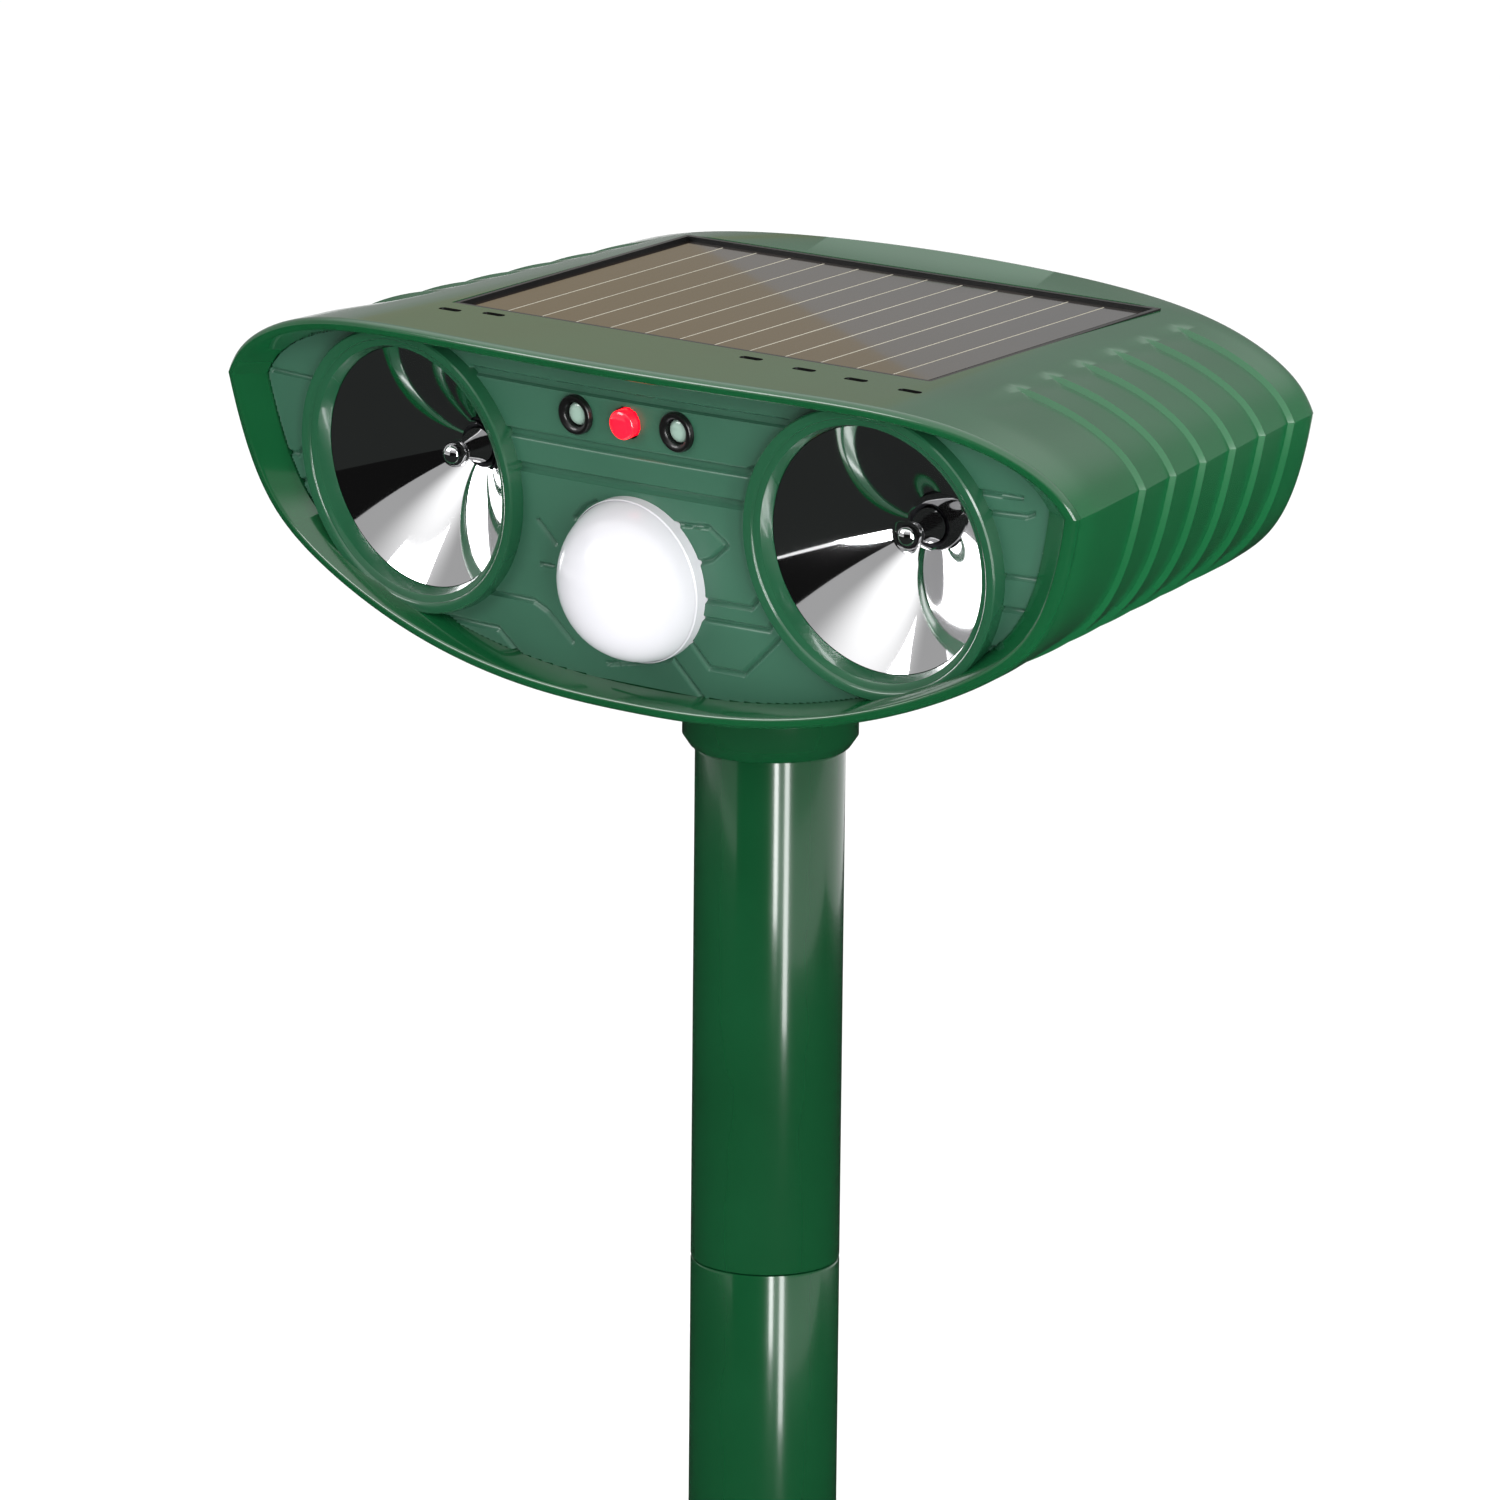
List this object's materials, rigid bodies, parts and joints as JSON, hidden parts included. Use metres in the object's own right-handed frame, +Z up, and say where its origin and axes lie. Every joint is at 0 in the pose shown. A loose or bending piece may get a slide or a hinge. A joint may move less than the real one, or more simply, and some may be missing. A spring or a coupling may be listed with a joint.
{
  "type": "solar ultrasonic pest repeller",
  "caption": "Hooded garden repeller head with chromed horns, a domed motion sensor and a solar panel on top, turning on a push-together pole with a ground spike.",
  "frame": {"origin": "on the pole's axis at ground level, the underside of the spike's flange", "axes": "+Z up along the pole, -Y out of the front of the head, +X to the right of someone who looks at the front"},
  "size_m": [0.1784, 0.0983, 0.381],
  "materials": {
    "shell": "dark green moulded plastic, satin gloss",
    "bezel": "dark green moulded plastic, satin gloss",
    "face": "grey green moulded plastic, satin",
    "horn": "mirror-bright plating",
    "plug": "bright plating",
    "driver": "black, matt",
    "lens": "milky white translucent plastic",
    "sensor_can": "plain",
    "lamp_clear": "clear resin",
    "lamp_red": "red, lit",
    "lamp_ring": "black",
    "board": "green lacquered laminate",
    "ribbon": "pale grey sheathing",
    "panel": "dark brown under clear resin",
    "cell": "near-black cells under clear resin",
    "panel_frame": "black",
    "chip": "black epoxy",
    "capacitor": "dark blue sleeve",
    "socket_metal": "tinned",
    "control": "blue housing",
    "cell_wrap": "blue shrink sleeve",
    "holder": "black",
    "wire_red": "red sheathing",
    "wire_white": "white sheathing",
    "rubber": "black, matt",
    "knob": "black",
    "steel": "zinc plated",
    "pole": "dark green moulded plastic, glossy",
    "spike": "dark green moulded plastic"
  },
  "bodies": {
    "spike": {"ground_spike": "spike"},
    "lower_pole": {"lower_pole": "pole"},
    "upper_pole": {"upper_pole": "pole"},
    "grip_ring": {"socket_ring": "rubber"},
    "head": {"top_shell": "shell", "bottom_shell": "shell", "front_bezel": "bezel", "face_panel": "face", "horn_left": "horn", "horn_right": "horn", "phase_plug_left": "plug", "phase_plug_right": "plug", "driver_left": "driver", "driver_right": "driver", "pir_lens": "lens", "pir_sensor": "sensor_can", "led_left": "lamp_clear", "led_centre": "lamp_red", "led_right": "lamp_clear", "led_bezel_left": "lamp_ring", "led_bezel_right": "lamp_ring", "sensor_board": "board", "sensor_ribbon": "ribbon", "solar_panel": "panel", "solar_cells": "cell", "solar_frame": "panel_frame", "solar_wires": "wire_red", "main_board": "board", "board_chips": "chip", "board_capacitors": "capacitor", "usb_socket": "socket_metal", "mode_switch": "control", "level_pot": "control", "battery": "cell_wrap", "battery_holder": "holder", "battery_wires": "wire_red", "horn_wires": "wire_white", "rear_plate": "bezel", "shell_screws": "steel", "board_screws": "steel"},
    "mode_knob": {"mode_knob": "knob", "mode_shaft": "steel"},
    "level_knob": {"level_knob": "knob", "level_shaft": "steel"},
    "usb_cover": {"usb_cover": "rubber"}
  },
  "joints": [
    {"name": "lower_pole_lift", "type": "slide", "parent": "spike", "child": "lower_pole", "axis": [0, 0, 1], "range_m": [0, 0.02]},
    {"name": "upper_pole_lift", "type": "slide", "parent": "lower_pole", "child": "upper_pole", "axis": [0, 0, 1], "range_m": [0, 0.02]},
    {"name": "head_lift", "type": "slide", "parent": "upper_pole", "child": "grip_ring", "axis": [0, 0, 1], "range_m": [0, 0.02]},
    {"name": "head_turn", "type": "hinge", "parent": "grip_ring", "child": "head", "pos_m": [0, 0, 0.185], "axis": [0, 0, 1], "continuous": true},
    {"name": "mode_turn", "type": "hinge", "parent": "head", "child": "mode_knob", "pos_m": [-0.02, 0.0451, 0.2232], "axis": [0, 1, 0], "range_deg": [-60, 60]},
    {"name": "level_turn", "type": "hinge", "parent": "head", "child": "level_knob", "pos_m": [0.004, 0.0451, 0.2232], "axis": [0, 1, 0], "range_deg": [-140, 140]},
    {"name": "usb_cover_swing", "type": "hinge", "parent": "head", "child": "usb_cover", "pos_m": [0.0324, 0.0453, 0.21345], "axis": [0, 0, -1], "range_deg": [0, 150]}
  ]
}
